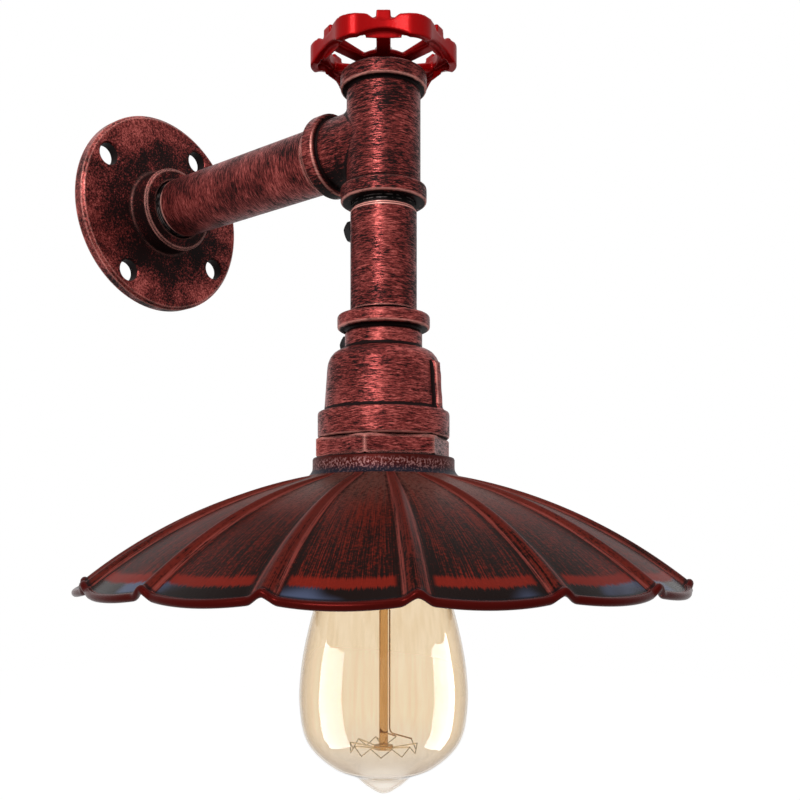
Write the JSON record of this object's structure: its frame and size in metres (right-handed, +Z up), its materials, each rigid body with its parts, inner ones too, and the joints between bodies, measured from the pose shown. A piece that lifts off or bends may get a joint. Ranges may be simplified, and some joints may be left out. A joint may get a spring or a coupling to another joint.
{
  "type": "wall lamp",
  "caption": "Screwed pipe wall lamp with a round wall flange, a level arm, a tee with a valve wheel switch, a bell reducer, a ribbed umbrella shade and a clear pear-shaped bulb.",
  "frame": {"origin": "centre of the wall flange's back face, on the wall", "axes": "+Z up, -Y out from the wall into the room, +X to the right of someone facing the wall"},
  "size_m": [0.2402, 0.2681, 0.311],
  "materials": {
    "fitting_paint": "antique red brushed over black on rough cast iron",
    "pipe_paint": "antique red brushed over black on steel pipe",
    "shade_paint": "antique red brushed over black on pressed steel",
    "wheel_red": "gloss red paint",
    "black_steel": "blackened steel",
    "plain_steel": "zinc plated steel",
    "porcelain": "glazed white porcelain",
    "brass": "plain brass",
    "cap_brass": "bright brass",
    "switch_case": "black moulded plastic",
    "wire_brown": "brown insulation",
    "wire_blue": "blue insulation",
    "wire_green": "green insulation",
    "amber_glass": "clear amber tinted glass",
    "clear_glass": "clear glass",
    "black_glass": "dark insulating glass",
    "fine_wire": "fine bare wire"
  },
  "bodies": {
    "lamp": {"wall_flange": "fitting_paint", "arm_pipe": "pipe_paint", "tee": "fitting_paint", "drop_pipe": "pipe_paint", "reducer": "fitting_paint", "hex_bushing": "fitting_paint", "holder_body": "porcelain", "holder_sleeve": "brass", "holder_tongue": "brass", "holder_screws": "plain_steel", "holder_posts": "brass", "shade": "shade_paint", "shade_ring": "black_steel", "top_plug": "fitting_paint", "switch_body": "switch_case", "switch_nut": "plain_steel", "earth_screw": "black_steel", "lock_screw": "black_steel", "earth_tag": "brass", "wire_live": "wire_brown", "wire_switched": "wire_brown", "wire_neutral": "wire_blue", "wire_earth": "wire_green"},
    "wheel": {"handwheel": "wheel_red", "switch_spindle": "plain_steel", "wheel_washer": "plain_steel", "wheel_screw": "plain_steel"},
    "bulb": {"bulb_glass": "amber_glass", "bulb_cap": "cap_brass", "bulb_insulator": "black_glass", "bulb_contact": "cap_brass", "bulb_stem": "clear_glass", "bulb_leads": "fine_wire", "bulb_supports": "fine_wire", "bulb_filament": "fine_wire"}
  },
  "joints": [
    {"name": "wheel_turn", "type": "hinge", "parent": "lamp", "child": "wheel", "pos_m": [0, -0.148, 0.032], "axis": [0, 0, 1], "continuous": true},
    {"name": "bulb_out", "type": "slide", "parent": "lamp", "child": "bulb", "axis": [0, 0, -1], "range_m": [0, 0.1]}
  ]
}
